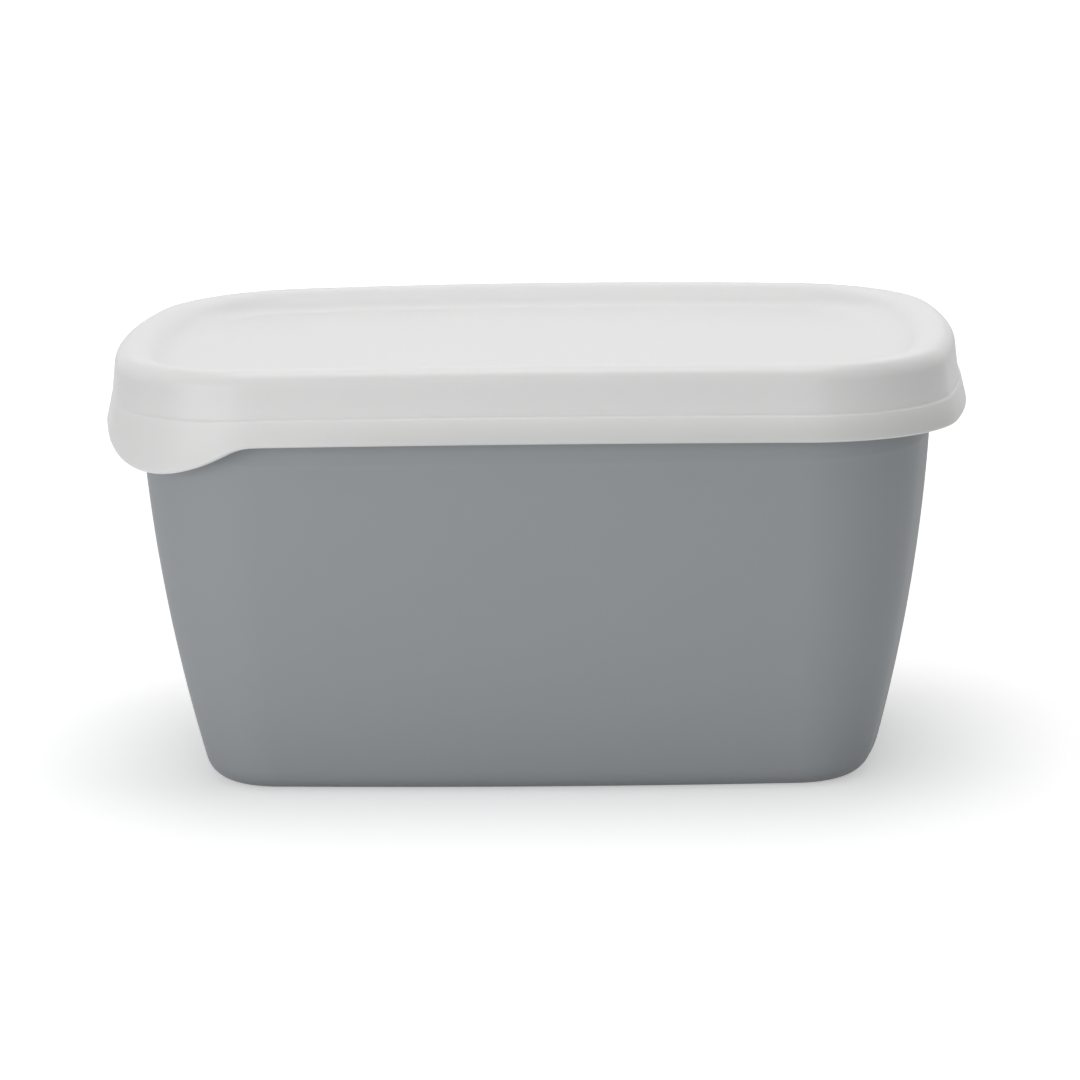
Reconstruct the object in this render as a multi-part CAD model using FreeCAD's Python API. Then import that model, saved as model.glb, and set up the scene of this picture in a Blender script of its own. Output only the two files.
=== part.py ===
# Lidded food storage container: a tub, solid inside, under a press-on lid, in millimetres.
# Frame: origin at the middle of the tub's base, +Z up, +X along the length, -Y the front.
# Both pieces are profiles carried round one oval of eight tangent arcs, so every ring of
# the lid and the tub runs parallel to the lid's outline.
import FreeCAD, Part
import math
import os

# Outline seen from above, at the lower edge of the lid's skirt
LID_LENGTH = 164.0
LID_WIDTH = 114.0
SIDE_BOW_RADIUS = 960.0     # the long sides bow out slightly
END_BOW_RADIUS = 161.0      # the short ends bow out more
CORNER_RADIUS = 31.0

# Lid
CREST_HEIGHT = 82.5         # above the tub's base
LID_WALL = 1.2
SKIRT_DEPTH = 8.9           # from the crest down to the ledge
SKIRT_LEAN = 0.9            # how far the skirt leans in up to the crest
LEDGE_WIDTH = 0.45
BAND_DEPTH = 4.9            # from the ledge down to the lid's lower edge
BAND_LEAN = 0.75            # how far the band leans in up to the ledge
RIM_ROUNDING = 3.0
CREST_BREADTH = 5.5         # from the skirt to the brink of the recess
RECESS_DEPTH = 3.6
BRINK_ROUNDING = 8.0
FLOOR_ROUNDING = 10.0
SNAP_BEAD = 0.6             # how far the bead inside the skirt stands in under the flange

# Pull tab at the front left corner of the lid
TAB_DROP = 5.3
TAB_ARC_RADIUS = 32.0
TAB_ROOT_RADIUS = 7.0

# Tub: setbacks are measured in from the lid's outline
WALL_SETBACK = 6.7          # at the lid's lower edge
BASE_SETBACK = 17.6
WALL_BULGE = 1.6            # how far the leaning wall bows out between base and collar
BASE_ROUNDING = 5.6
COLLAR_DEPTH = 4.2
COLLAR_PROUD = 0.3
FLANGE_DEPTH = 5.0          # below the underside of the lid's crest

# Clearances
SEAT_GAP = 0.2              # between the lid's inside and the tub's top and flange
BEAD_GAP = 0.3              # between the snap bead and the flange above it

SPARE = 5.0                 # how far cutting shapes run past what they cut

UP = FreeCAD.Vector(0, 0, 1)
MIDDLE = FreeCAD.Vector(0, 0, 0)

LEDGE_HEIGHT = CREST_HEIGHT - SKIRT_DEPTH
LID_EDGE_HEIGHT = LEDGE_HEIGHT - BAND_DEPTH
FLANGE_UNDERSIDE = CREST_HEIGHT - LID_WALL - SEAT_GAP - FLANGE_DEPTH

# The side of the recess slopes so that the two roundings take up nine tenths of it
RECESS_SLOPE = math.acos(1 - 0.9 * RECESS_DEPTH / (BRINK_ROUNDING + FLOOR_ROUNDING))
SLOPE_SHARE = math.tan(RECESS_SLOPE / 2)


def corner_centre():
    """Centre of the corner arc that touches a side bow and an end bow from inside."""
    side_y = LID_WIDTH / 2 - SIDE_BOW_RADIUS
    end_x = LID_LENGTH / 2 - END_BOW_RADIUS
    from_side = SIDE_BOW_RADIUS - CORNER_RADIUS
    from_end = END_BOW_RADIUS - CORNER_RADIUS
    span = math.hypot(end_x, side_y)
    along = (from_side**2 - from_end**2 + span**2) / (2 * span)
    across = math.sqrt(from_side**2 - along**2)
    step_x, step_y = end_x / span, -side_y / span
    return along * step_x + across * step_y, side_y + along * step_y - across * step_x


def outline_arcs():
    """Centre, radius, first angle and last angle of the oval's arcs, counter-clockwise."""
    corner_x, corner_y = corner_centre()
    side_y = LID_WIDTH / 2 - SIDE_BOW_RADIUS
    end_x = LID_LENGTH / 2 - END_BOW_RADIUS
    end_turn = math.degrees(math.atan2(corner_y, corner_x - end_x))
    side_turn = math.degrees(math.atan2(corner_y - side_y, corner_x))
    arcs = []
    for half_turn in (0, 180):
        sign = 1 - half_turn / 90
        for x, y, radius, first, last in (
                (end_x, 0, END_BOW_RADIUS, -end_turn, end_turn),
                (corner_x, corner_y, CORNER_RADIUS, end_turn, side_turn),
                (0, side_y, SIDE_BOW_RADIUS, side_turn, 180 - side_turn),
                (-corner_x, corner_y, CORNER_RADIUS, 180 - side_turn, 180 - end_turn)):
            arcs.append((FreeCAD.Vector(sign * x, sign * y, 0), radius, half_turn + first, half_turn + last))
    return arcs


ARCS = outline_arcs()
FRONT_LEFT_CORNER = ARCS[5]


def point(inset, height):
    """A point of a profile: its x is the distance outside the oval, so an inset is negative."""
    return FreeCAD.Vector(-inset, 0, height)


def straight(start, end):
    """The line between two points, or nothing where they meet."""
    return [] if start.isEqual(end, 1e-6) else [Part.makeLine(start, end)]


def profile(*corners):
    """Edges through corners given as inset, height and rounding; the two ends have no rounding."""
    edges = []
    here = point(*corners[0][:2])
    for before, corner, after in zip(corners, corners[1:], corners[2:]):
        spot = point(*corner[:2])
        rounding = corner[2]
        back = (point(*before[:2]) - spot).normalize()
        ahead = (point(*after[:2]) - spot).normalize()
        half_angle = back.getAngle(ahead) / 2
        start = spot + back * (rounding / math.tan(half_angle))
        end = spot + ahead * (rounding / math.tan(half_angle))
        edges += straight(here, start)
        if rounding:
            bisector = (back + ahead).normalize()
            middle = spot + bisector * (rounding / math.sin(half_angle) - rounding)
            edges.append(Part.Arc(start, middle, end).toShape())
        here = end
    return edges + straight(here, point(*corners[-1][:2]))


def carried_round(edges):
    """Closed solid whose skin is the profile carried round the oval, with a flat face at each end."""
    faces = []
    for centre, radius, first, last in ARCS:
        for edge in edges:
            placed = edge.copy()
            placed.translate(FreeCAD.Vector(radius, 0, 0))
            placed.rotate(MIDDLE, UP, first)
            placed.translate(centre)
            faces.append(placed.revolve(centre, UP, last - first))
    for tip in (edges[0].firstVertex(True).Point, edges[-1].lastVertex(True).Point):
        ring = [Part.makeCircle(radius + tip.x, centre + UP * tip.z, UP, first, last)
                for centre, radius, first, last in ARCS]
        faces.append(Part.Face(Part.Wire(ring)))
    solid = Part.Solid(Part.Shell(faces))
    if solid.Volume < 0:
        solid.reverse()
    return solid


def skirt_inset(height):
    """Inset of the skirt's outer face above the ledge, which leans in evenly up to the crest."""
    foot = BAND_LEAN + LEDGE_WIDTH
    return foot + SKIRT_LEAN * (height - LEDGE_HEIGHT) / SKIRT_DEPTH


def top_corners(depth):
    """Rim, brink and floor of the recessed top, drawn in by a depth from the lid's outside."""
    crest = CREST_HEIGHT - depth
    floor = crest - RECESS_DEPTH
    brink = skirt_inset(CREST_HEIGHT) + CREST_BREADTH
    foot = brink + RECESS_DEPTH / math.tan(RECESS_SLOPE)
    return [
        (skirt_inset(crest) + depth, crest, RIM_ROUNDING - depth),
        (brink - depth * SLOPE_SHARE, crest, BRINK_ROUNDING - depth),
        (foot - depth * SLOPE_SHARE, floor, FLOOR_ROUNDING + depth),
        (foot + FLOOR_ROUNDING * SLOPE_SHARE, floor, 0),
    ]


def lid_outside(low):
    """Upright below the lid's edge, then the leaning band, the ledge, the skirt and the top."""
    return [
        (0, low, 0),
        (0, LID_EDGE_HEIGHT, 0),
        (BAND_LEAN, LEDGE_HEIGHT, 0),
        (skirt_inset(LEDGE_HEIGHT), LEDGE_HEIGHT, 0),
    ] + top_corners(0)


def lid_inside(low):
    """The same walls one thickness further in, with the snap bead under the tub's flange."""
    ledge = LEDGE_HEIGHT - LID_WALL
    bead = FLANGE_UNDERSIDE - BEAD_GAP - SNAP_BEAD
    return [
        (LID_WALL, low, 0),
        (LID_WALL, LID_EDGE_HEIGHT, 0),
        (LID_WALL + BAND_LEAN, ledge, 0),
        (LID_WALL + skirt_inset(ledge), ledge, 0),
        (LID_WALL + skirt_inset(bead - SNAP_BEAD), bead - SNAP_BEAD, 0),
        (LID_WALL + skirt_inset(bead) + SNAP_BEAD, bead, 0),
        (LID_WALL + skirt_inset(bead + SNAP_BEAD), bead + SNAP_BEAD, 0),
    ] + top_corners(LID_WALL)


def tab_outline(centre, sideways, reach):
    """Half outline of the pull tab, from its root at the lid's edge to the middle of its arc."""
    arc_height = LID_EDGE_HEIGHT - TAB_DROP + TAB_ARC_RADIUS
    join = TAB_ARC_RADIUS + TAB_ROOT_RADIUS
    rise = join - TAB_DROP
    turn = math.acos(rise / join)

    def spot(across, height):
        return centre + sideways * across + UP * height

    root = spot(reach, LID_EDGE_HEIGHT)
    bend = spot(reach - TAB_ROOT_RADIUS * math.sin(turn / 2),
                LID_EDGE_HEIGHT - TAB_ROOT_RADIUS * (1 - math.cos(turn / 2)))
    meet = spot(TAB_ARC_RADIUS * math.sin(turn), arc_height - TAB_ARC_RADIUS * math.cos(turn))
    belly = spot(TAB_ARC_RADIUS * math.sin(turn / 2), arc_height - TAB_ARC_RADIUS * math.cos(turn / 2))
    tip = spot(0, LID_EDGE_HEIGHT - TAB_DROP)
    return [Part.Arc(root, bend, meet).toShape(), Part.Arc(meet, belly, tip).toShape()]


def tab_prism():
    """The pull tab's outline carried outwards through the front left corner of the skirt."""
    centre, radius, first, last = FRONT_LEFT_CORNER
    heading = math.radians((first + last) / 2)
    outward = FreeCAD.Vector(math.cos(heading), math.sin(heading), 0)
    sideways = FreeCAD.Vector(-outward.y, outward.x, 0)
    reach = math.sqrt((TAB_ARC_RADIUS + TAB_ROOT_RADIUS)**2 - (TAB_ARC_RADIUS + TAB_ROOT_RADIUS - TAB_DROP)**2)
    edges = tab_outline(centre, sideways, reach) + tab_outline(centre, sideways * -1, reach)
    root = centre + sideways * reach + UP * LID_EDGE_HEIGHT
    far_root = root - sideways * 2 * reach
    edges += Part.makePolygon([root, root + UP * SPARE, far_root + UP * SPARE, far_root]).Edges
    outline = Part.Wire(Part.__sortEdges__(edges))
    return Part.Face(outline).extrude(outward * (radius + SPARE))


def lid():
    """Thin moulded lid, recessed on top, with a ledge round its skirt and a pull tab at one corner."""
    low = LID_EDGE_HEIGHT - TAB_DROP - SPARE
    outside = profile(*reversed(lid_outside(low)))
    rim = straight(point(0, low), point(LID_WALL, low))
    skin = carried_round(outside + rim + profile(*lid_inside(low)))
    below_edge = Part.makeBox(LID_LENGTH + 2 * SPARE, LID_WIDTH + 2 * SPARE, LID_EDGE_HEIGHT,
                              FreeCAD.Vector(-LID_LENGTH / 2 - SPARE, -LID_WIDTH / 2 - SPARE, 0))
    return skin.cut(below_edge.cut(tab_prism()))


def tub_wall(head):
    """Rounding of the base and the bowed wall that leans out from it to the collar."""
    foot = point(BASE_SETBACK, 0)
    chord = head - foot
    bow_radius = (chord.Length**2 / 4 + WALL_BULGE**2) / (2 * WALL_BULGE)
    inward = FreeCAD.Vector(-chord.z, 0, chord.x).normalize()
    bow_centre = (foot + head) * 0.5 + inward * (bow_radius - WALL_BULGE)
    reach = bow_radius - BASE_ROUNDING
    rounding_x = bow_centre.x + math.sqrt(reach**2 - (BASE_ROUNDING - bow_centre.z)**2)
    rounding_centre = FreeCAD.Vector(rounding_x, 0, BASE_ROUNDING)
    base_end = FreeCAD.Vector(rounding_x, 0, 0)
    meet = bow_centre + (rounding_centre - bow_centre).normalize() * bow_radius
    corner_way = ((base_end + meet) * 0.5 - rounding_centre).normalize()
    bow_way = ((meet + head) * 0.5 - bow_centre).normalize()
    return [Part.Arc(base_end, rounding_centre + corner_way * BASE_ROUNDING, meet).toShape(),
            Part.Arc(meet, bow_centre + bow_way * bow_radius, head).toShape()]


def tub():
    """Tub with a leaning wall, a collar, and a flange and top that fill the lid up to the seat gap."""
    collar_foot = LID_EDGE_HEIGHT - COLLAR_DEPTH
    neck = WALL_SETBACK - COLLAR_PROUD
    head = (WALL_SETBACK, collar_foot - COLLAR_PROUD, 0)
    gap = LID_WALL + SEAT_GAP
    upper = profile(head, (neck, collar_foot, 0), (neck, FLANGE_UNDERSIDE, 0),
                    (skirt_inset(FLANGE_UNDERSIDE) + gap, FLANGE_UNDERSIDE, 0), *top_corners(gap))
    return carried_round(tub_wall(point(*head[:2])) + upper)


def main():
    os.makedirs("parts", exist_ok=True)
    tub().exportStep("parts/tub.step")
    lid().exportStep("parts/lid.step")


main()
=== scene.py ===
"""Food storage container: a white press-on lid over a tapering grey tub, as a Blender add-on.

Both pieces are profiles carried round one oval of eight tangent arcs, as the CAD solids are, with
the soft edges, the slight crown and the finish of moulded plastic. Lengths are in metres.
"""
import math

import bpy
import numpy as np
from bpy.props import FloatProperty, FloatVectorProperty, PointerProperty
from mathutils import Matrix, Vector


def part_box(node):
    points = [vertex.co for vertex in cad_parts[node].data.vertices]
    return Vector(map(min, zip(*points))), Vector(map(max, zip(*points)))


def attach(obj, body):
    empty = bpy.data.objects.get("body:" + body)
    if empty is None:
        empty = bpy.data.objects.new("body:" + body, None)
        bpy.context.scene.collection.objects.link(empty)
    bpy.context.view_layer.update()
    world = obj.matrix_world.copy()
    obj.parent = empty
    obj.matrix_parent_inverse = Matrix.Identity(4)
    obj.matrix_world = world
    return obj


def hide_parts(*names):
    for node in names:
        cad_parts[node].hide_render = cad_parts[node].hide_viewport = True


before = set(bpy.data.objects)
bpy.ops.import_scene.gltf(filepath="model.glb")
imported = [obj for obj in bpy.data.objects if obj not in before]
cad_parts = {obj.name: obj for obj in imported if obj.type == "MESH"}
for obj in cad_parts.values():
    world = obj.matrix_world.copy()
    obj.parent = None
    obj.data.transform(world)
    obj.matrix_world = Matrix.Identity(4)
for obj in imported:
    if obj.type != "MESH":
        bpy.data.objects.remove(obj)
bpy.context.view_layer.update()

bl_info = {
    "name": "Food storage container",
    "version": (1, 0, 0),
    "blender": (4, 5, 0),
    "location": "3D View > Sidebar > Container",
    "description": "Builds the looks of a lidded food storage container around its CAD model",
    "category": "Add Mesh",
}

MM = 0.001
LID_LOW, LID_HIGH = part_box("lid")

# How finely the surfaces are worked out
ARC_STEP = math.radians(4)      # turn between two rows on a rounding
ROW_LENGTH = 3.0 * MM           # longest distance between two rows
LEAST_STEP = 0.0001 * MM        # two rows closer than this are one
DISC_ROWS = 10                  # rings between a flat's edge and its middle
WALL_ROWS = 24                  # rows on the bowed wall of the tub
BASE_ROWS = 20                  # rows on the rounding of its base
END_COLUMNS = 24                # columns on the bow of each short end,
SIDE_COLUMNS = 36               # of each long side
CORNER_COLUMNS = 44             # and on each corner

# Details of the moulding
LEDGE_RISE = 0.2 * MM           # from the ledge up to its inner corner
LEDGE_FALL = 0.1 * MM           # and down to its outer corner
LEDGE_INNER = 0.3 * MM          # radius of the inner corner
LEDGE_OUTER = 0.2 * MM          # and of the outer one
CURVED_SHARE = 0.9              # share of the recess's depth that its two roundings take up
CROWN_LEVEL = 0.28              # share of the crown by which the lid's middle is lifted
LEAN_SOFTNESS = 0.3             # how softly the band's lean fades out, as a share of its depth
TAB_END_STRETCH = 1.07          # the tab's half towards the end is this much wider

# Finish
POLYPROPYLENE_IOR = 1.49
MELT_DRIFT = 35 * MM            # size of the patches where the melt cooled alike
GLOSS_SPREAD = 0.05             # how far the grain moves the roughness up and down
PAINTED_BAND_SHADE = 0.86                # share of the lid's tone that the band keeps under its painted shade, the shade of the dark gap behind it
SHADOW_REACH = (0.2, 0.7)       # distances at which the floor starts and ends turning plain white
NEAR_GLOW = 0.42                # the floor's own white to the eye where the shadow lies


def linear(hex_colour):
    """Linear red, green and blue of an sRGB colour written as #RRGGBB, by the standard's curve."""
    shares = np.array([int(hex_colour[i:i + 2], 16) for i in (1, 3, 5)]) / 255
    return tuple(np.where(shares <= 0.04045, shares / 12.92, ((shares + 0.055) / 1.055)**2.4))


def length(name, description, default):
    """A length that the user may change."""
    return FloatProperty(name=name, description=description, default=default,
                         min=0, precision=4, unit="LENGTH")


def colour(name, description, default):
    """A colour that the user may change, given as sRGB hex."""
    return FloatVectorProperty(name=name, description=description, default=linear(default),
                               min=0, max=1, subtype="COLOR")


class OutlineSizes(bpy.types.PropertyGroup):
    """The oval seen from above at the lower edge of the lid, which every ring runs parallel to"""
    span: length("Length", "Overall length of the lid", LID_HIGH.x - LID_LOW.x)
    breadth: length("Width", "Overall width of the lid", LID_HIGH.y - LID_LOW.y)
    side_bow: length("Side bow radius", "How gently the long sides bow out", 960 * MM)
    end_bow: length("End bow radius", "How gently the short ends bow out", 161 * MM)
    corner: length("Corner radius", "Radius of the four corners", 31 * MM)


class LidSizes(bpy.types.PropertyGroup):
    """Sizes and colour of the lid"""
    crest: length("Crest height", "Height of the rim's crest above the tub's base", LID_HIGH.z)
    crown: length("Crown", "How far the whole lid arches up along its length", 1.1 * MM)
    wall: length("Wall", "Thickness of the moulded wall", 1.2 * MM)
    skirt_depth: length("Skirt depth", "From the crest down to the ledge", 8.9 * MM)
    skirt_lean: length("Skirt lean", "How far the skirt leans in up to the crest", 0.9 * MM)
    ledge: length("Ledge", "Width of the ledge round the skirt", 0.45 * MM)
    band_depth: length("Band depth", "From the ledge down to the lower edge", 4.9 * MM)
    band_lean: length("Band lean", "How far the band leans in up to the ledge", 0.75 * MM)
    tuck: length("Band tuck", "How far the band is tucked in along the long sides", 0.5 * MM)
    flare: length("Band flare", "How much further the band leans out at the ends", 0.4 * MM)
    ledge_fade: length("Ledge fade", "How much narrower the ledge is at the tab's end", 0.25 * MM)
    rim_rounding: length("Rim rounding", "Radius between the skirt and the crest", 3 * MM)
    crest_breadth: length("Crest breadth", "From the skirt to the brink of the recess", 5.5 * MM)
    recess: length("Recess depth", "From the crest down to the panel", 3.6 * MM)
    brink_rounding: length("Brink rounding", "Radius at the top of the recess's side", 8 * MM)
    floor_rounding: length("Floor rounding", "Radius at the foot of the recess's side", 10 * MM)
    lip: length("Lip rounding", "Radius of the lower edge", 0.4 * MM)
    bead: length("Snap bead", "How far the bead inside the skirt stands in", 0.6 * MM)
    tab_drop: length("Tab drop", "How far the tab hangs below the lower edge", 5.4 * MM)
    tab_arc: length("Tab arc radius", "Radius of the tab's lower outline", 31 * MM)
    tab_root: length("Tab root radius", "Radius where the tab runs into the lower edge", 9 * MM)
    tab_shift: length("Tab shift", "How far the tab's middle is moved towards the end", 0.3 * MM)
    tone: colour("Lid", "Colour of the lid's plastic", "#E7E7E6")


class TubSizes(bpy.types.PropertyGroup):
    """Sizes and colour of the tub"""
    wall_setback: length("Wall setback", "From the lid's outline in to the wall, at the lid", 6.7 * MM)
    base_setback: length("Base setback", "From the lid's outline in to the wall, at the base", 17.6 * MM)
    bulge: length("Bulge", "How far the leaning wall bows out", 1.6 * MM)
    base_rounding: length("Base rounding", "Radius round the base", 5.6 * MM)
    collar_depth: length("Collar depth", "How far the collar shows below the lid", 4.2 * MM)
    collar_proud: length("Collar proud", "How far the collar stands out from the wall", 0.2 * MM)
    collar_fade: length("Collar fade", "Height in which the collar runs out into the wall", 1.2 * MM)
    collar_rounding: length("Collar rounding", "Softness of the collar's foot", 3 * MM)
    flange_depth: length("Flange depth", "Depth of the flange below the lid's crest", 5 * MM)
    flange_rounding: length("Flange rounding", "Radius of the flange's lower edge", 0.4 * MM)
    seat_gap: length("Seat gap", "Gap between the lid and the tub", 0.2 * MM)
    bead_gap: length("Bead gap", "Gap between the snap bead and the flange", 0.3 * MM)
    tone: colour("Tub", "Colour of the tub's plastic", "#9EA2A5")


class StageSizes(bpy.types.PropertyGroup):
    """Floor, light and camera"""
    floor_size: length("Floor size", "Length of the square floor", 6)
    floor_tone: colour("Floor", "Colour of the floor", "#F2F2F2")
    distance: length("Camera distance", "From the camera to the point that it looks at", 873.6 * MM)
    aim_height: length("Aim height", "Height of the point that the camera looks at", 40 * MM)
    lens: FloatProperty(name="Lens", description="Focal length of the camera in millimetres",
                        default=150, min=1)
    elevation: FloatProperty(name="Elevation", description="How far the camera looks down",
                             default=math.radians(11.52), subtype="ANGLE")
    turn: FloatProperty(name="Turn", description="How far the camera stands to the right of the front",
                        default=math.radians(2.53), subtype="ANGLE")
    roll: FloatProperty(name="Roll", description="How far the camera leans to the right",
                        default=math.radians(1.05), subtype="ANGLE")


class ContainerSizes(bpy.types.PropertyGroup):
    """Everything about the container and its stage that can be changed"""
    outline: PointerProperty(type=OutlineSizes)
    lid: PointerProperty(type=LidSizes)
    tub: PointerProperty(type=TubSizes)
    stage: PointerProperty(type=StageSizes)


# ---------------------------------------------------------------- shapes

class Oval:
    """The outline as columns: for each, the centre, radius and direction of the arc that it lies on.

    A corner arc touches a side bow and an end bow from inside, so its centre lies at their radii,
    less its own, from their centres. A point at an inset lies at centre + (radius - inset) * direction.
    """

    def __init__(self, sizes):
        side_y = sizes.breadth / 2 - sizes.side_bow
        end_x = sizes.span / 2 - sizes.end_bow
        from_side = sizes.side_bow - sizes.corner
        from_end = sizes.end_bow - sizes.corner
        apart = math.hypot(end_x, side_y)
        along = (from_side**2 - from_end**2 + apart**2) / (2 * apart)
        across = math.sqrt(from_side**2 - along**2)
        corner_x = (along * end_x - across * side_y) / apart
        corner_y = side_y - (along * side_y + across * end_x) / apart
        end_turn = math.atan2(corner_y, corner_x - end_x)
        side_turn = math.atan2(corner_y - side_y, corner_x)
        half = [
            (end_x, 0, sizes.end_bow, -end_turn, end_turn, END_COLUMNS),
            (corner_x, corner_y, sizes.corner, end_turn, side_turn, CORNER_COLUMNS),
            (0, side_y, sizes.side_bow, side_turn, math.pi - side_turn, SIDE_COLUMNS),
            (-corner_x, corner_y, sizes.corner, math.pi - side_turn, math.pi - end_turn, CORNER_COLUMNS),
        ]
        arcs = [(sign * x, sign * y, radius, start + first, start + last, count)
                for sign, start in ((1, 0), (-1, math.pi)) for x, y, radius, first, last, count in half]
        self.centre = np.concatenate([np.tile((x, y), (count, 1)) for x, y, _, _, _, count in arcs])
        self.radius = np.concatenate([np.full(count, radius) for _, _, radius, _, _, count in arcs])
        angle = np.concatenate([np.linspace(first, last, count, endpoint=False)
                                for _, _, _, first, last, count in arcs])
        self.direction = np.stack([np.cos(angle), np.sin(angle)], axis=-1)
        self.half_length = sizes.span / 2
        self.front_left = np.array((-corner_x, -corner_y))
        self.front_left_heading = math.pi + (end_turn + side_turn) / 2

    def rings(self, inset):
        """Plan position of each column at insets given as rows, or as rows and columns."""
        return self.centre + (self.radius - inset)[..., None] * self.direction


def unit(vector):
    """The vector at length one."""
    return vector / np.linalg.norm(vector)


def rounded(corners):
    """Profile through corners given as inset, height and radius, as an array of inset and height.

    At a corner, an arc of that radius touches both straight lines at radius / tan(half the angle)
    from it. Its points are middle + radius * (cos(turn) * u + sin(turn) * v), with u pointing from
    the arc's middle to its start and v along the first line.
    """
    corners = np.array(corners, float)
    pieces = [corners[:1, :2]]
    for before, corner, after in zip(corners, corners[1:], corners[2:]):
        spot, radius = corner[:2], corner[2]
        back, ahead = unit(before[:2] - spot), unit(after[:2] - spot)
        half = math.acos(np.clip(back @ ahead, -1, 1)) / 2
        middle = spot + unit(back + ahead) * radius / math.sin(half)
        start = spot + back * radius / math.tan(half)
        turn = np.linspace(0, math.pi - 2 * half, 2 + int((math.pi - 2 * half) / ARC_STEP))[:, None]
        pieces.append(middle + np.cos(turn) * (start - middle) - np.sin(turn) * radius * back)
    pieces.append(corners[-1:, :2])
    return np.concatenate(pieces)


def divided(profile):
    """The same profile with its long stretches cut into equal lengths."""
    steps = np.linalg.norm(np.diff(profile, axis=0), axis=1)
    apart = steps > LEAST_STEP
    profile, steps = profile[np.append(True, apart)], steps[apart]
    travel = np.concatenate([[0], np.cumsum(steps)])
    cuts = np.maximum(np.ceil(steps / ROW_LENGTH), 1).astype(int)
    first = np.repeat(np.cumsum(cuts) - cuts, cuts)
    share = (np.arange(cuts.sum()) - first) / np.repeat(cuts, cuts)
    spots = np.append(np.repeat(travel[:-1], cuts) + share * np.repeat(steps, cuts), travel[-1])
    return np.stack([np.interp(spots, travel, profile[:, i]) for i in (0, 1)], axis=-1)


def closed_surface(name, grid):
    """Mesh of a grid of points, closed round its columns, with a fan to the middle at either end.

    Rows run from the middle of the upper side outwards, down and back to the middle below, and
    columns run counter-clockwise, so every face points outwards.
    """
    rows, columns = grid.shape[:2]
    here = np.arange(rows * columns).reshape(rows, columns)
    beside = np.roll(here, -1, axis=1)
    quads = np.stack([here[:-1], here[1:], beside[1:], beside[:-1]], axis=-1).reshape(-1, 4)
    top, bottom = rows * columns, rows * columns + 1
    top_fan = np.stack([np.full(columns, top), here[0], beside[0]], axis=-1)
    bottom_fan = np.stack([np.full(columns, bottom), beside[-1], here[-1]], axis=-1)
    points = np.concatenate([grid.reshape(-1, 3), grid[[0, -1]].mean(axis=1)])
    mesh = bpy.data.meshes.new(name)
    mesh.from_pydata(points.tolist(), [], quads.tolist() + top_fan.tolist() + bottom_fan.tolist())
    mesh.shade_smooth()
    piece = bpy.data.objects.new(name, mesh)
    bpy.context.scene.collection.objects.link(piece)
    return piece


def with_discs(profile):
    """Inset, height and share of every row of the profile, and of the rings that close both its ends.

    A ring's plan is the end row's times its share, which falls evenly to the middle.
    """
    shrink = (np.arange(DISC_ROWS) + 1) / (DISC_ROWS + 1)
    ends = profile[[0, -1]].repeat(DISC_ROWS, axis=0)
    rows = np.concatenate([ends[:DISC_ROWS], profile, ends[DISC_ROWS:]])
    share = np.concatenate([shrink, np.ones(len(profile)), shrink[::-1]])
    return rows[:, :1], rows[:, 1:], share[:, None]


def crown_lift(lid, oval, x):
    """The lid's arch along its length, a parabola: crown * (level - (x / half length)^2).

    The level is about the mean of the square, so that the lid keeps its mean height.
    """
    return lid.crown * (CROWN_LEVEL - (x / oval.half_length)**2)


def skirt_inset(lid, height):
    """Inset of the skirt, which leans in evenly from the ledge up to the crest."""
    foot = lid.crest - lid.skirt_depth
    return lid.band_lean + lid.ledge + lid.skirt_lean * (height - foot) / lid.skirt_depth


def top_corners(lid, depth):
    """Panel, foot and brink of the recess and the rim, drawn in by a depth from the lid's outside.

    Two arcs of radii a and b joined at a slope fall by (a + b) * (1 - cos(slope)) together.
    """
    slope = math.acos(1 - CURVED_SHARE * lid.recess / (lid.brink_rounding + lid.floor_rounding))
    share = math.tan(slope / 2)
    crest = lid.crest - depth
    floor = crest - lid.recess
    brink = skirt_inset(lid, lid.crest) + lid.crest_breadth
    foot = brink + lid.recess / math.tan(slope)
    return [
        (foot + lid.floor_rounding * share, floor, 0),
        (foot - depth * share, floor, lid.floor_rounding + depth),
        (brink - depth * share, crest, lid.brink_rounding - depth),
        (skirt_inset(lid, crest) + depth, crest, lid.rim_rounding - depth),
    ]


def flange_underside(lid, tub):
    """Height of the tub's flange on its underside."""
    return lid.crest - lid.wall - tub.seat_gap - tub.flange_depth


def lid_profile(lid, tub):
    """The lid's closed section: over the top, down the stepped skirt, round the lip and back inside."""
    ledge = lid.crest - lid.skirt_depth
    edge = ledge - lid.band_depth
    bead = flange_underside(lid, tub) - tub.bead_gap - lid.bead
    wall = lid.wall

    def inside(height, stand):
        return wall + skirt_inset(lid, height) + stand, height, lid.lip

    outside = top_corners(lid, 0) + [
        (lid.band_lean + lid.ledge, ledge + LEDGE_RISE, LEDGE_INNER),
        (lid.band_lean, ledge - LEDGE_FALL, LEDGE_OUTER),
        (0, edge, lid.lip),
    ]
    return divided(rounded(outside + [
        (wall, edge, lid.lip),
        (wall + lid.band_lean, ledge - wall, lid.lip),
        inside(bead - lid.bead, 0),
        inside(bead, lid.bead),
        inside(bead + lid.bead, 0),
    ] + top_corners(lid, wall)[::-1]))


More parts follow.
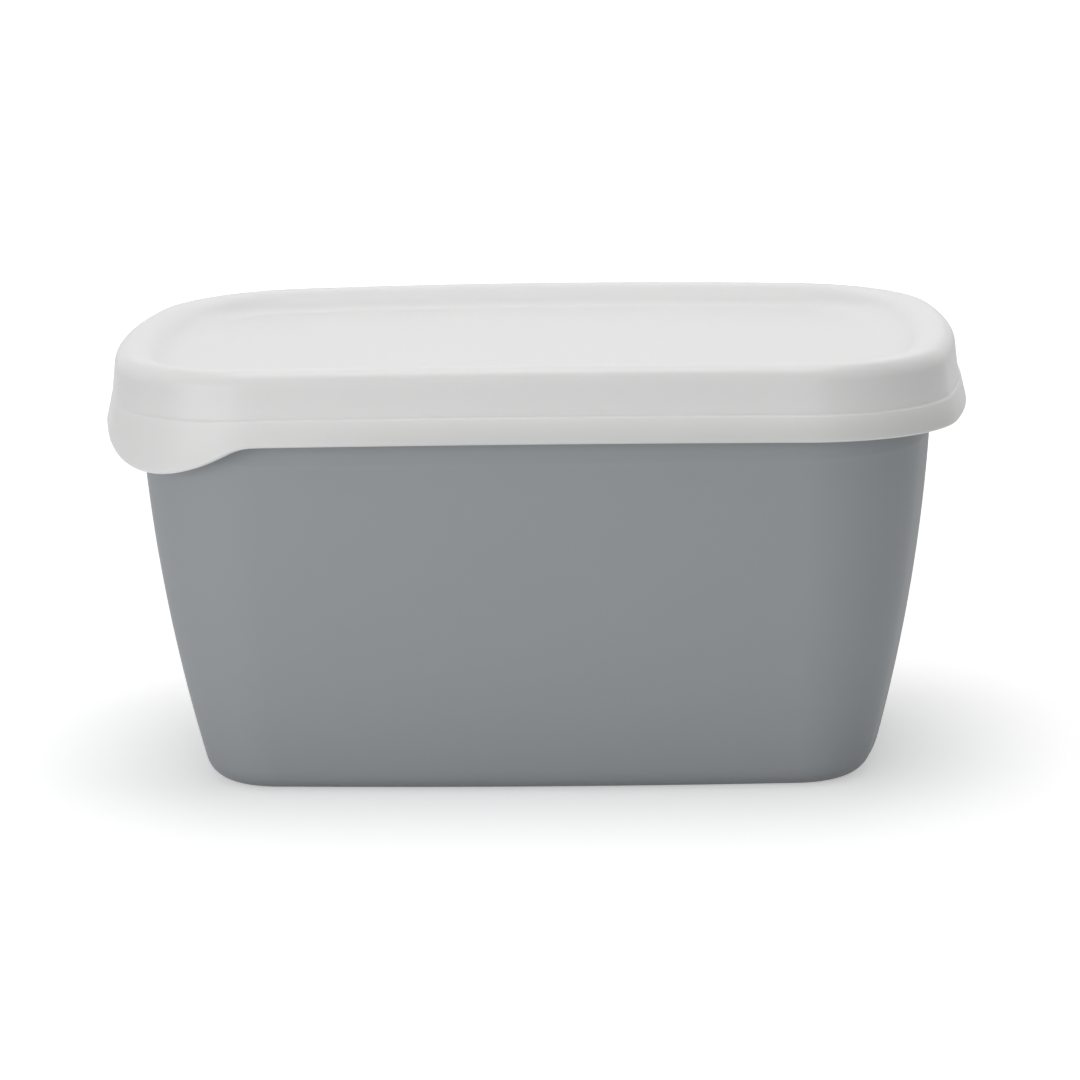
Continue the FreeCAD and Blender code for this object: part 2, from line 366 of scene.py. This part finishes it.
def tab_hang(lid, across):
    """How far the tab hangs below the edge at a distance across from its middle.

    A large arc hangs down from a centre above, and turns out into the edge through two small ones,
    whose centres lie below the edge: drop - arc + sqrt(arc^2 - across^2), then
    root - sqrt(root^2 - (reach - across)^2).
    """
    join = lid.tab_arc + lid.tab_root
    turn = math.acos((join - lid.tab_drop) / join)
    reach = join * math.sin(turn)
    away = np.abs(across)
    belly = lid.tab_drop - lid.tab_arc + np.sqrt(np.maximum(lid.tab_arc**2 - away**2, 0))
    root = lid.tab_root - np.sqrt(np.maximum(lid.tab_root**2 - (reach - away)**2, 0))
    return np.select([away < lid.tab_arc * math.sin(turn), away < reach], [belly, root], 0)


def soft_ramp(share):
    """Nothing below zero and the share itself above, and never more than one.

    The two are joined by a parabola: (share + softness)^2 / (4 * softness).
    """
    bend = np.maximum(share + LEAN_SOFTNESS, 0)**2 / (4 * LEAN_SOFTNESS)
    return np.minimum(np.where(share > LEAN_SOFTNESS, share, bend), 1)


def lid_grid(lid, tub, oval):
    """Points of the lid, and for each its share of the band's painted shade, which is nothing at the tab.

    Below the ledge, rows are drawn down to the tab's outline in proportion to their depth, down to
    just above the lip, which keeps its section. The band's lean fades out below the lower edge, so
    that the tab hangs upright.

    The band is also tucked in along the long sides, by tuck * (sine of the heading)^2 * share below
    the ledge, and flares at the ends by flare * (cosine of the heading)^2 * that share, which is
    squared at the tab's end. There the ledge is narrower too, by ledge_fade * (cosine)^2.
    """
    inset, height, share = with_discs(lid_profile(lid, tub))
    ledge = lid.crest - lid.skirt_depth
    edge = ledge - lid.band_depth
    heading = oval.front_left_heading
    from_corner = oval.rings(inset) - oval.front_left
    outwards = from_corner @ (math.cos(heading), math.sin(heading))
    across = from_corner @ (-math.sin(heading), math.cos(heading)) + lid.tab_shift
    across = np.where(across < 0, across / TAB_END_STRETCH, across)
    pull = np.clip((ledge - height) / (lid.band_depth - 1.5 * lid.lip), 0, 1)
    z = height - pull * np.where(outwards > 0, tab_hang(lid, across), 0)
    straight_lean = np.clip((height - edge) / lid.band_depth, 0, 1)
    lean = soft_ramp((z - edge) / lid.band_depth) - straight_lean
    below = np.clip((ledge - z) / lid.band_depth, 0, 1)
    endwards = np.maximum(oval.direction[:, 0], 0)**2
    tabwards = np.minimum(oval.direction[:, 0], 0)**2
    draw = lid.tuck * oval.direction[:, 1]**2 - lid.flare * (endwards + tabwards * below)
    past_ledge = np.clip((ledge + LEDGE_RISE - height) / (LEDGE_RISE + LEDGE_FALL), 0, 1)
    fade = lid.ledge_fade * tabwards * past_ledge
    plan = oval.rings(inset + lid.band_lean * lean + draw * below + fade) * share[..., None]
    # Painted shade: the band below the ledge is marked for a darker tone that stands in for the shade of the
    # dark gap behind it, fading out towards the tab
    band_shade_mask = below * np.clip(np.abs(across) / lid.tab_arc - 0.5, 0, 1)
    return np.dstack([plan, z + crown_lift(lid, oval, plan[..., 0])]), band_shade_mask


def tub_wall(lid, tub, head):
    """The wall from its head down: an arc that bows out by the bulge, then the rounding of the base.

    The rounding's centre lies its radius above the base, and as far from the bow's centre as the
    two radii differ, so that the two arcs touch.
    """
    foot = np.array((tub.base_setback, 0))
    chord = head - foot
    bow = ((chord @ chord) / 4 + tub.bulge**2) / (2 * tub.bulge)
    centre = (foot + head) / 2 + unit(np.array((chord[1], -chord[0]))) * (bow - tub.bulge)
    reach = bow - tub.base_rounding
    drop = tub.base_rounding - centre[1]
    turned = np.array((centre[0] - math.sqrt(reach**2 - drop**2), tub.base_rounding))
    touch = centre + unit(turned - centre) * bow
    angles = [math.atan2(*(spot - centre)[::-1]) % (2 * math.pi) for spot in (head, touch)]
    upper = np.linspace(*angles, WALL_ROWS)[:, None]
    start = math.atan2(*(touch - turned)[::-1]) % (2 * math.pi)
    lower = np.linspace(start, 1.5 * math.pi, BASE_ROWS)[1:, None]
    return np.concatenate([centre + bow * np.hstack([np.cos(upper), np.sin(upper)]),
                           turned + tub.base_rounding * np.hstack([np.cos(lower), np.sin(lower)])])


def tub_profile(lid, tub):
    """The tub's closed section: over the top under the lid, round the flange and down the wall."""
    gap = lid.wall + tub.seat_gap
    under = flange_underside(lid, tub)
    collar_foot = lid.crest - lid.skirt_depth - lid.band_depth - tub.collar_depth
    neck = tub.wall_setback - tub.collar_proud
    head = np.array((tub.wall_setback, collar_foot - tub.collar_fade))
    wall = tub_wall(lid, tub, head)
    upper = rounded(top_corners(lid, gap) + [
        (skirt_inset(lid, under) + gap, under, tub.flange_rounding),
        (neck, under, tub.flange_rounding),
        (neck, collar_foot, tub.collar_rounding),
        (*head, tub.collar_rounding),
        (*wall[1], 0),
    ])
    return divided(np.concatenate([upper, wall[2:]]))


def tub_grid(lid, tub, oval):
    """Points of the tub. Its flange and top follow the lid's crown, which fades out down the neck.

    The crown is multiplied by rise^2 * (3 - 2 * rise), which starts and ends level.
    """
    inset, height, share = with_discs(tub_profile(lid, tub))
    plan = oval.rings(inset) * share[..., None]
    collar_foot = lid.crest - lid.skirt_depth - lid.band_depth - tub.collar_depth
    rise = np.clip((height - collar_foot) / (flange_underside(lid, tub) - collar_foot), 0, 1)
    lift = crown_lift(lid, oval, plan[..., 0]) * rise**2 * (3 - 2 * rise)
    return np.dstack([plan, height + lift])


# ---------------------------------------------------------------- materials

def add_node(tree, kind, inputs=None, **settings):
    """Adds a node with its settings. Each input is given a value, or is linked where that is a socket."""
    node = tree.nodes.new(kind)
    for name, value in settings.items():
        setattr(node, name, value)
    for name, value in (inputs or {}).items():
        if isinstance(value, bpy.types.NodeSocket):
            tree.links.new(value, node.inputs[name])
        else:
            node.inputs[name].default_value = value
    return node


def blank_material(name):
    """A new node material with only its output, and that output."""
    material = bpy.data.materials.new(name)
    material.use_nodes = True
    material.node_tree.nodes.clear()
    return material, add_node(material.node_tree, "ShaderNodeOutputMaterial")


def moulded_polypropylene(name, tone, roughness, grain, grain_depth, mottle):
    """Polypropylene injection-moulded in a spark-eroded mould.

    It gives the eye a soft satin without a clear mirror image, a grain that only close looks find,
    and a tone that drifts a little where the melt cooled at different speeds.
    """
    material, output = blank_material(name)
    tree = material.node_tree
    place = add_node(tree, "ShaderNodeTexCoord").outputs["Object"]
    drift = add_node(tree, "ShaderNodeTexNoise", {"Vector": place, "Scale": 1 / MELT_DRIFT, "Detail": 3})
    tones = add_node(tree, "ShaderNodeMix", {
        "Factor": drift.outputs["Fac"],
        "A": (*(np.array(tone) * (1 - mottle)), 1),
        "B": (*(np.array(tone) * (1 + mottle)).clip(0, 1), 1),
    }, data_type="RGBA")
    erosion = add_node(tree, "ShaderNodeTexNoise", {"Vector": place, "Scale": 1 / grain, "Detail": 2})
    relief = add_node(tree, "ShaderNodeBump", {"Height": erosion.outputs["Fac"], "Distance": grain_depth,
                                               "Strength": 1.0})
    gloss = add_node(tree, "ShaderNodeMapRange", {"Value": erosion.outputs["Fac"],
                                                  "To Min": roughness - GLOSS_SPREAD,
                                                  "To Max": roughness + GLOSS_SPREAD})
    surface = add_node(tree, "ShaderNodeBsdfPrincipled", {
        "Base Color": tones.outputs["Result"],
        "Roughness": gloss.outputs["Result"],
        "Normal": relief.outputs["Normal"],
        "IOR": POLYPROPYLENE_IOR,
    })
    tree.links.new(surface.outputs["BSDF"], output.inputs["Surface"])
    return material, surface


def lid_plastic(lid):
    """Natural white polypropylene: light enters the thin wall a little way, so edges look soft.

    The band below the ledge is thin and hangs free of the tub. The shade of the dark gap behind it is
    painted shade, multiplied into its tone as a slightly greyer white, except at the thicker tab.
    """
    material, surface = moulded_polypropylene("Polypropylene_white_moulded_satin", lid.tone, 0.32,
                                              grain=0.5 * MM, grain_depth=0.004 * MM, mottle=0.006)
    surface.inputs["Subsurface Weight"].default_value = 0.7
    surface.inputs["Subsurface Radius"].default_value = (1.0, 1.0, 0.9)
    surface.inputs["Subsurface Scale"].default_value = 2.0 * MM
    tree = material.node_tree
    # Painted shade on the band: its tone is multiplied down where the mask from lid_grid lies
    band = add_node(tree, "ShaderNodeAttribute", attribute_name="band_painted_shade")
    painted_shade_tone = add_node(tree, "ShaderNodeMix", {
        "Factor": band.outputs["Fac"],
        "A": surface.inputs["Base Color"].links[0].from_socket,
        "B": (PAINTED_BAND_SHADE, PAINTED_BAND_SHADE, PAINTED_BAND_SHADE, 1),
    }, data_type="RGBA", blend_type="MULTIPLY")
    tree.links.new(painted_shade_tone.outputs["Result"], surface.inputs["Base Color"])
    return material


def tub_plastic(tub):
    """Grey pigmented polypropylene: opaque, with a slightly coarser, duller mould grain.

    The coarser grain breaks up the sheen at a glancing angle, so the sides keep their grey up to
    their outline.
    """
    material, surface = moulded_polypropylene("Polypropylene_grey_moulded_matt", tub.tone, 0.55,
                                              grain=0.7 * MM, grain_depth=0.006 * MM, mottle=0.012)
    surface.inputs["Specular IOR Level"].default_value = 0.2
    return material


# ---------------------------------------------------------------- operators

def dress(piece, node, material):
    """Gives a finished piece its material and its body, and hides the CAD node that it stands for."""
    piece.data.materials.append(material)
    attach(piece, "root")
    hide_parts(node)


class CONTAINER_OT_lid(bpy.types.Operator):
    """Makes the lid"""
    bl_idname = "container.lid"
    bl_label = "Lid"

    def execute(self, context):
        sizes = context.scene.container_sizes
        grid, band_shade_mask = lid_grid(sizes.lid, sizes.tub, Oval(sizes.outline))
        piece = closed_surface("lid_shell", grid)
        # The mask of the band's painted shade, which the lid's material reads
        share = piece.data.attributes.new("band_painted_shade", "FLOAT", "POINT")
        middles = [0, 0]    # the two points in which the fans meet
        share.data.foreach_set("value", np.append(band_shade_mask.ravel(), middles))
        dress(piece, "lid", lid_plastic(sizes.lid))
        return {"FINISHED"}


class CONTAINER_OT_tub(bpy.types.Operator):
    """Makes the tub"""
    bl_idname = "container.tub"
    bl_label = "Tub"

    def execute(self, context):
        sizes = context.scene.container_sizes
        grid = tub_grid(sizes.lid, sizes.tub, Oval(sizes.outline))
        dress(closed_surface("tub_body", grid), "tub", tub_plastic(sizes.tub))
        return {"FINISHED"}


def backdrop_share(tree):
    """One for rays that show the background to the eye, straight, in gloss or through glass; else nothing."""
    path = add_node(tree, "ShaderNodeLightPath").outputs
    in_view = add_node(tree, "ShaderNodeMath", {0: path["Is Camera Ray"], 1: path["Is Glossy Ray"]},
                       operation="MAXIMUM")
    shown = add_node(tree, "ShaderNodeMath", {0: in_view.outputs[0], 1: path["Is Transmission Ray"]},
                     operation="MAXIMUM")
    return shown.outputs[0]


def floor_finish(stage):
    """Matt white paper, which takes the object's soft shadow and looks plain white further off.

    Its own glow to the eye rises smoothly with the distance from the object, from NEAR_GLOW to one.
    In gloss it stays at NEAR_GLOW.
    """
    material, output = blank_material("Paper_white_matt")
    tree = material.node_tree
    paper = add_node(tree, "ShaderNodeBsdfDiffuse", {"Color": (*stage.floor_tone, 1)})
    place = add_node(tree, "ShaderNodeTexCoord").outputs["Object"]
    distance = add_node(tree, "ShaderNodeVectorMath", {0: place}, operation="LENGTH").outputs["Value"]
    to_the_eye = add_node(tree, "ShaderNodeLightPath").outputs["Is Camera Ray"]
    seen_distance = add_node(tree, "ShaderNodeMath", {0: distance, 1: to_the_eye}, operation="MULTIPLY")
    glow_level = add_node(tree, "ShaderNodeMapRange", {
        "Value": seen_distance.outputs[0],
        "From Min": SHADOW_REACH[0], "From Max": SHADOW_REACH[1], "To Min": NEAR_GLOW, "To Max": 1.0,
    }, interpolation_type="SMOOTHSTEP")
    lift = add_node(tree, "ShaderNodeMath", {0: backdrop_share(tree), 1: glow_level.outputs["Result"]},
                    operation="MULTIPLY")
    glow = add_node(tree, "ShaderNodeEmission", {"Strength": lift.outputs[0]})
    both = add_node(tree, "ShaderNodeAddShader", {0: paper.outputs[0], 1: glow.outputs[0]})
    tree.links.new(both.outputs[0], output.inputs["Surface"])
    return material


def surroundings(strength):
    """A plain white studio all round: white to the eye, and a softer light on the object."""
    world = bpy.data.worlds.new("Studio")
    world.use_nodes = True
    tree = world.node_tree
    tree.nodes.clear()
    level = add_node(tree, "ShaderNodeMapRange", {"Value": backdrop_share(tree),
                                                  "To Min": strength, "To Max": 1.0})
    light = add_node(tree, "ShaderNodeBackground", {"Color": (1, 1, 1, 1),
                                                    "Strength": level.outputs["Result"]})
    output = add_node(tree, "ShaderNodeOutputWorld")
    tree.links.new(light.outputs[0], output.inputs["Surface"])
    return world


def facing(place, towards):
    """The matrix that puts a lamp or camera at a place and points it along a direction."""
    return Matrix.Translation(place) @ towards.to_track_quat("-Z", "Y").to_matrix().to_4x4()


def soft_lamp(name, place, aim, size, power):
    """A square softbox or card at a place, facing a point, with a side and a power in watts."""
    lamp = bpy.data.lights.new(name, "AREA")
    lamp.shape = "SQUARE"
    lamp.size = size
    lamp.energy = power
    holder = bpy.data.objects.new(name, lamp)
    holder.matrix_world = facing(Vector(place), aim - Vector(place))
    holder.visible_camera = False
    bpy.context.scene.collection.objects.link(holder)


class CONTAINER_OT_stage(bpy.types.Operator):
    """Makes the floor, the light and the camera"""
    bl_idname = "container.stage"
    bl_label = "Stage"

    def execute(self, context):
        scene = context.scene
        stage = scene.container_sizes.stage
        half = stage.floor_size / 2
        corners = [(-half, -half, 0), (half, -half, 0), (half, half, 0), (-half, half, 0)]
        mesh = bpy.data.meshes.new("floor")
        mesh.from_pydata(corners, [], [(0, 1, 2, 3)])
        mesh.materials.append(floor_finish(stage))
        floor = bpy.data.objects.new("floor", mesh)
        scene.collection.objects.link(floor)

        # Softboxes above and behind shape the rim, and cards low in front lift the walls
        scene.world = surroundings(strength=0.27)
        aim = Vector((0, 0, stage.aim_height))
        lid_level = Vector((0, 0, 0.08))
        soft_lamp("top_softbox", (0, 0, 0.90), aim, size=0.6, power=3.3)
        soft_lamp("back_softbox", (0, 0.60, 0.70), aim, size=0.6, power=0.95)
        soft_lamp("low_back_softbox", (0, 0.95, 0.50), aim, size=0.5, power=0.15)
        soft_lamp("front_card", (0, -0.50, 0.03), lid_level, size=0.5, power=0.72)
        soft_lamp("side_card", (-0.40, -0.42, 0.03), lid_level, size=0.4, power=1.18)

        out = Vector((math.sin(stage.turn) * math.cos(stage.elevation),
                      -math.cos(stage.turn) * math.cos(stage.elevation), math.sin(stage.elevation)))
        camera = bpy.data.objects.new("camera", bpy.data.cameras.new("camera"))
        camera.data.lens = stage.lens
        camera.matrix_world = facing(aim + stage.distance * out, -out) @ Matrix.Rotation(-stage.roll, 4, "Z")
        scene.collection.objects.link(camera)
        scene.camera = camera
        scene.view_settings.view_transform = "Standard"
        return {"FINISHED"}


class CONTAINER_PT_panel(bpy.types.Panel):
    """Lists the steps that build the container, with their sizes and colours"""
    bl_label = "Food storage container"
    bl_space_type = "VIEW_3D"
    bl_region_type = "UI"
    bl_category = "Container"

    def draw(self, context):
        sizes = context.scene.container_sizes
        for operator, groups in ((CONTAINER_OT_tub, (sizes.outline, sizes.tub)),
                                 (CONTAINER_OT_lid, (sizes.lid,)),
                                 (CONTAINER_OT_stage, (sizes.stage,))):
            box = self.layout.box()
            box.operator(operator.bl_idname)
            for group in groups:
                for name in group.__annotations__:
                    box.prop(group, name)


CLASSES = (OutlineSizes, LidSizes, TubSizes, StageSizes, ContainerSizes,
           CONTAINER_OT_tub, CONTAINER_OT_lid, CONTAINER_OT_stage, CONTAINER_PT_panel)


def register():
    for each in CLASSES:
        bpy.utils.register_class(each)
    bpy.types.Scene.container_sizes = PointerProperty(type=ContainerSizes)


def unregister():
    del bpy.types.Scene.container_sizes
    for each in reversed(CLASSES):
        bpy.utils.unregister_class(each)


def main():
    """Builds the container and its stage."""
    register()
    bpy.ops.container.tub()
    bpy.ops.container.lid()
    bpy.ops.container.stage()


if __name__ == "__main__":
    main()
